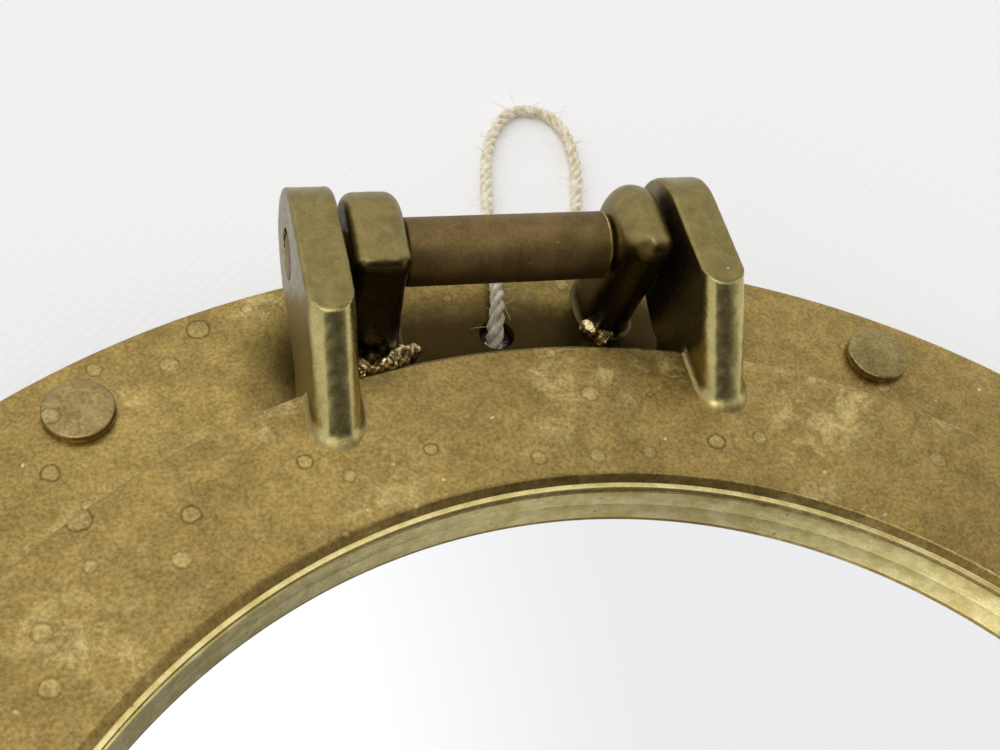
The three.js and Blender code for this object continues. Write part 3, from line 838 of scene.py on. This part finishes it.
def knuckle_field(ends, front_top, lean, flares, edges):
    """A knuckle in the hinge's own axes: it stands on the flange, leans forward and is round behind the pin.

    front_top is where its front is at the top, and lean is how far it recedes with each millimetre down.
    flares and edges are given for its side towards the tube and for the other one: how far that side spreads
    with each millimetre below the pin, and how round its edges are.
    """
    play, fillet, buried = 0.3, 1.6, 1.5
    middle, half = (ends[0] + ends[1]) / 2, (ends[1] - ends[0]) / 2

    def field(x, y, z):
        outward = (x - middle) * math.copysign(1, middle)
        spread = np.maximum(-z, 0)
        side = np.maximum(outward - flares[1] * spread, -outward - flares[0] * spread) - half
        ahead = front_top + lean * (KNUCKLE_EYE - z) - y
        beyond = np.hypot(np.maximum(y, 0), np.maximum(z, 0))
        beyond = np.where((y <= 0) & (z > 0), z, beyond) - KNUCKLE_EYE
        edge = edges[0] + (edges[1] - edges[0]) * ramp(outward, -half, half)
        body = rounded_corner(edge, ahead, side, beyond)
        body = np.maximum(body, PIN_RADIUS + play - np.hypot(y, z))
        body = body + hand_finish(x, y, z, 0.04)
        height = z + HINGE_H
        body = np.maximum(filleted_join(body, height + SUNK, fillet), -buried - height)
        turned_x = x * math.cos(HINGE_TURN) - y * math.sin(HINGE_TURN)
        turned_y = x * math.sin(HINGE_TURN) + y * math.cos(HINGE_TURN)
        from_center = np.hypot(HINGE_X + turned_x, HINGE_Y + turned_y)
        return np.maximum(body, from_center - (FLANGE_RADIUS - FLANGE_EDGE))

    return (field, (middle - half - 5, front_top - 3, -HINGE_H - 2),
            (middle + half + 5, KNUCKLE_EYE + 4.5, KNUCKLE_EYE + 1))


def braze_field(spots):
    """Lumps of filler metal, a little flattened and run together: spots are (x, y, h, radius)."""
    flattened, melt, buried = 1.3, 1.2, 0.4

    def field(x, y, z):
        h = z - FLANGE_TOP
        lumps = None
        for sx, sy, sh, radius in spots:
            one = np.sqrt((x - sx) ** 2 + (y - sy) ** 2 + (flattened * (h - sh)) ** 2) - radius
            lumps = one if lumps is None else filleted_join(lumps, one, melt)
        coarse = 0.25 * np.sin(1.5 * x + 0.7) * np.sin(1.9 * y)
        fine = 0.07 * np.sin(3.7 * x) * np.sin(4.1 * z + 2 * y)
        return np.maximum(lumps + (coarse + fine), -buried - h)

    xs, ys, hs, rs = np.array(spots).T
    return (field, (min(xs - rs) - 1, min(ys - rs) - 1, FLANGE_TOP - 1),
            (max(xs + rs) + 1, max(ys + rs) + 1, FLANGE_TOP + max(hs + rs) + 1))


def make_knuckles():
    """Each knuckle has its own lean, spread and rounding, and its own lumps of braze in front of its foot."""
    shapes = {
        "left": (-10.9, 0.18, (0.08, 0.02), (2.5, 2.0)),
        "right": (-10.4, 0.23, (-0.03, 0.03), (5.0, 3.2)),
    }
    spots = {
        "left": [
            (-24.5, 126.4, 1.2, 2.4), (-21.5, 126.6, 1.8, 3.0), (-18.2, 127.2, 1.6, 2.8), (-15.4, 128.6, 0.8, 2.3),
            (-13.4, 129.8, 0.2, 1.5), (-11.8, 130.4, -0.1, 0.9),
        ],
        "right": [
            (19.4, 132.2, 0.2, 1.3), (20.6, 131.2, 0.9, 1.9), (22.2, 130.4, 0.4, 1.6), (21.2, 129.2, -0.2, 1.0),
        ],
    }
    for side, shape in shapes.items():
        add_solid(f"knuckle_{side}", *knuckle_field(KNUCKLE_ENDS[side], *shape), 0.4, MATERIAL["knuckle"], "frame",
                  "aged_brass", [f"hinge_knuckle_{side}"], ON_HINGE)
    for side in shapes:
        add_solid(f"braze_{side}", *braze_field(spots[side]), 0.25, MATERIAL["braze"], "frame", "aged_brass")


# ---- door ----
def make_door_ring():
    """The ring with its gasket groove and rebate. Its lip has a bright ledge, a dark line and a bright wall."""
    back = FLANGE_TOP + DOOR_BACK_H
    face = FLANGE_TOP + DOOR_FACE_H
    ledge = face - 1.58
    ledge_out = LIP_RADIUS + 0.85
    gasket_in, gasket_out = 107.5, float(GASKET_HIGH[0]) + 0.3
    gasket_top = back + 3
    recess, rebate = float(RETAINER_HIGH[0]) + 0.5, float(GLASS_HIGH[0]) + 0.5
    recess_top, rebate_top = float(RETAINER_HIGH[2]) + 0.3, float(GLASS_HIGH[2]) + 0.02
    corners = [
        (recess, back, 0.2), (gasket_in, back, 0.2), (gasket_in, gasket_top, 0), (gasket_out, gasket_top, 0),
        (gasket_out, back, 0.2), (DOOR_RADIUS, back, 0.4), (DOOR_RADIUS, face, 0.7),
        (LIP_RADIUS + 4, face, 6), (LIP_RADIUS + 1.7, face - 0.12, 0.9), (ledge_out, ledge + 0.08, 0.12),
        (LIP_RADIUS + 0.12, ledge, 0), (LIP_RADIUS + 0.12, ledge - 0.9, 0), (LIP_RADIUS - 0.12, ledge - 1.1, 0.06),
        (LIP_RADIUS, rebate_top, 0), (rebate, rebate_top, 0), (rebate, recess_top, 0), (recess, recess_top, 0),
    ]
    ring = add_turned("ring", corners, 320, [MATERIAL["door"], MATERIAL["lip"]], "door", "door_brass",
                      ["door_ring"])
    polished = []
    for polygon in ring.data.polygons:
        middle = polygon.center / MM
        radius = math.hypot(middle.x, middle.y)
        on_ledge = ledge - 0.01 < middle.z < ledge + 0.12
        on_wall = rebate_top < middle.z < ledge - 0.89
        polished.append(int(radius < ledge_out + 0.02 and (on_ledge or on_wall)))
    ring.data.polygons.foreach_set("material_index", polished)


def lug_field(sign):
    """A door lug: a flat top, a crowned front that slopes down to the door's face and a round eye about the pin.

    The pin's hole is worn towards the back on the lug's outer side.
    """
    foot_y, top_y = 101.9, 115.6
    slope = math.atan2(LUG_TOP_H - DOOR_FACE_H, top_y - foot_y)
    middle = HINGE_X + sign * LUG_MIDDLE
    front_round, crown, fillet = (2.2 if sign < 0 else 1.8), 0.08, 1.3
    worn_radius, worn_back, worn_depth, no_wear = 3.95, 0.9, 4.0, -9.0

    def field(x, y, z):
        h = z - FLANGE_TOP
        eye_y = HINGE_Y + (x - HINGE_X) * math.tan(HINGE_TURN)
        side = np.abs(x - middle) - LUG_HALF
        ahead = -(y - foot_y) * math.sin(slope) + (h - DOOR_FACE_H) * math.cos(slope) + crown * (x - middle) ** 2
        under = 0.75 * (2 + 6 * ramp(y, 118, 123) + (HINGE_H - LUG_EYE - 8) * ramp(y, 124, 134) - h)
        eye = np.hypot(y - eye_y, h - HINGE_H) - LUG_EYE
        outline = np.where(y > eye_y, eye, np.maximum(h - LUG_TOP_H, under))
        body = np.maximum(rounded_meet(ahead, side, front_round), rounded_meet(outline, side, 0.7))
        body = np.maximum(body, rounded_meet(ahead, outline, 0.45))
        from_pin = np.hypot(y - eye_y, h - HINGE_H)
        worn = worn_radius - np.hypot(y - eye_y - worn_back, h - HINGE_H)
        worn = np.where((x - middle) * sign > 0, np.minimum(worn, side + worn_depth), no_wear)
        body = np.maximum(body, np.maximum(PIN_RADIUS + 0.05 - from_pin, worn))
        body = body + hand_finish(x, y, z)
        from_center = np.hypot(x, y)
        ring = rounded_meet(h - DOOR_FACE_H + SUNK, from_center - DOOR_RADIUS + SUNK, 0.7)
        ring = np.maximum(ring, DOOR_FACE_H - 14 - h)
        return np.maximum(filleted_join(body, ring, fillet), DOOR_RADIUS - 21 - from_center)

    return field, (middle - 9, 92, FLANGE_TOP + 1), (middle + 9, 147.5, FLANGE_TOP + LUG_TOP_H + 1)


def make_lugs():
    for side, sign in (("left", -1), ("right", 1)):
        add_solid(f"lug_{side}", *lug_field(sign), 0.35, MATERIAL["lug"], "door", "door_brass", ["door_ring"])


def add_rod(name, low, high, bore, radius, edge, material, body, slot, stands_for):
    """A rod or tube on the hinge's axis, as long as it is between low and high. edge rounds its ends.

    It returns the piece and where its right end is along the pin.
    """
    sine = abs(math.sin(HINGE_TURN))
    half = (float(high[0] - low[0]) - 2 * radius * sine) / math.cos(HINGE_TURN) / 2
    middle = (float(high[0] + low[0]) / 2 - HINGE_X) / math.cos(HINGE_TURN)
    bore_edge = 0.2 if bore else 0
    corners = [(bore, -half, bore_edge), (radius, -half, edge), (radius, half, edge), (bore, half, bore_edge)]
    place = ON_HINGE @ Matrix.Translation((middle, 0, 0)) @ Matrix.Rotation(math.pi / 2, 4, "Y")
    return add_turned(name, corners, 72, material, body, slot, [stands_for], place), middle + half


def make_hinge():
    """The spacer tube, whose right end's edge has a painted highlight, and the pin, whose ends are flush with the
    lugs.
    """
    tube_edge, looks = 0.7, [MATERIAL["bronze"], MATERIAL["lip"]]
    tube, tube_end = add_rod("spacer_tube", TUBE_LOW, TUBE_HIGH, PIN_RADIUS + 0.3, TUBE_RADIUS, tube_edge, looks,
                             "hinge_tube", "dark_bronze", "hinge_spacer_tube")
    to_hinge = ON_HINGE.inverted()
    # painted highlight: the faces of the tube's rounded right end get the bright lip brass
    highlight_from = tube_end - tube_edge + 0.02
    painted_highlight_faces = [int((to_hinge @ (polygon.center / MM)).x > highlight_from) for polygon in tube.data.polygons]
    tube.data.polygons.foreach_set("material_index", painted_highlight_faces)
    longer = np.array([0.35, 0, 0])
    add_rod("pin", PIN_LOW - longer, PIN_HIGH + longer, 0, PIN_RADIUS, 0.2, MATERIAL["bronze"], "door",
            "dark_bronze", "hinge_pin")


def round_off_cad_nodes():
    """Copies with rounded edges stand for the pieces that keep the CAD's shape. The mirror stays as it is."""
    looks = {  # by the start of a node's name: its material and how wide its edges are rounded, in millimetres
        "mirror_backing": ("board", 0.3),
        "door_gasket": ("rubber", 0.4),
        "glass_retaining_ring": ("bright", 0.4),
        "retaining_screw": ("bright", 0.2),
        "dog_bolt": ("bright", 0.5),
        "dog_washer": ("bright", 0.3),
        "dog_nut": ("bright", 0.7),
        "dog_pin": ("bronze", 0.4),
        "dog_clevis": ("knuckle", 0.8),
        "door_ear": ("lug", 1.0),
    }
    for name, node in frame["nodes"].items():
        look = next((look for start, look in looks.items() if name.startswith(start)), None)
        if look is None:
            continue
        material, edge_width = look
        work = bmesh.new()
        work.from_mesh(node.data)
        bmesh.ops.remove_doubles(work, verts=work.verts, dist=0.001 * MM)
        bmesh.ops.dissolve_limit(work, angle_limit=math.radians(1), verts=work.verts, edges=work.edges)
        hard = [edge for edge in work.edges if edge.is_manifold and edge.calc_face_angle() > math.radians(32)]
        bmesh.ops.bevel(work, geom=hard, offset=edge_width * MM, segments=2, profile=0.5, affect="EDGES",
                        clamp_overlap=True)
        mesh = bpy.data.meshes.new(f"{name}_rounded")
        work.to_mesh(mesh)
        work.free()
        mesh.polygons.foreach_set("use_smooth", [True] * len(mesh.polygons))
        mesh.set_sharp_from_angle(angle=math.radians(31))
        mesh.materials.append(MATERIAL[material])
        piece = add_object(f"{name}_rounded", mesh)
        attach(piece, node["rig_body"])
        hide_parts(name)
    glass = frame["nodes"]["mirror_glass"]
    glass.data.materials.clear()
    glass.data.materials.append(MATERIAL["mirror"])


# ---- stage ----
def make_stage():
    half = 3.0
    corners = [(-half, -half, 0), (half, -half, 0), (half, half, 0), (-half, half, 0)]
    mesh = bpy.data.meshes.new("table")
    mesh.from_pydata(corners, [], [(0, 1, 2, 3)])
    mesh.materials.append(MATERIAL["cloth"])
    add_object("table", mesh)


def make_light():
    """A white studio all round, brightest overhead, and dark where the photographer stands and reaches over."""
    world = bpy.data.worlds.new("studio")
    bpy.context.scene.world = world
    world.use_nodes = True
    tree = world.node_tree
    tree.nodes.clear()
    output = tree.nodes.new("ShaderNodeOutputWorld")
    background = tree.nodes.new("ShaderNodeBackground")
    where = tree.nodes.new("ShaderNodeTexCoord")

    def with_area(strength, toward, edge, core, change):
        """The sky's strength with a round area that changes it, fully inside the angle core, not beyond edge."""
        along = tree.nodes.new("ShaderNodeVectorMath")
        along.operation = "DOT_PRODUCT"
        along.inputs[1].default_value = Vector(toward).normalized()
        fade = tree.nodes.new("ShaderNodeMapRange")
        fade.interpolation_type = "SMOOTHSTEP"
        fade.inputs["From Min"].default_value = math.cos(math.radians(edge))
        fade.inputs["From Max"].default_value = math.cos(math.radians(core))
        fade.inputs["To Min"].default_value = 0
        fade.inputs["To Max"].default_value = change
        total = tree.nodes.new("ShaderNodeMath")
        tree.links.new(where.outputs["Generated"], along.inputs[0])
        tree.links.new(along.outputs["Value"], fade.inputs["Value"])
        tree.links.new(strength, total.inputs[0])
        tree.links.new(fade.outputs[0], total.inputs[1])
        return total.outputs[0]

    plain = tree.nodes.new("ShaderNodeValue")
    plain.outputs[0].default_value = 1.1
    overhead = with_area(plain.outputs[0], (-0.15, -0.25, 0.95), 20, 10, 2.2)
    leftward = with_area(overhead, (-0.4, 0.3, 0.86), 45, 10, 0.45)
    arm = with_area(leftward, (0.36, -0.07, 0.92), 19, 9, -0.85)
    strength = with_area(arm, (0.2, -0.9, 0.4), 50, 10, -1.0)
    tree.links.new(strength, background.inputs["Strength"])
    tree.links.new(background.outputs[0], output.inputs[0])
    bpy.context.scene.view_settings.view_transform = "Standard"


make_camera()
make_string()
make_flange()
make_spigot()
make_rivets()
make_knuckles()
make_door_ring()
make_lugs()
make_hinge()
round_off_cad_nodes()
make_stage()
make_light()
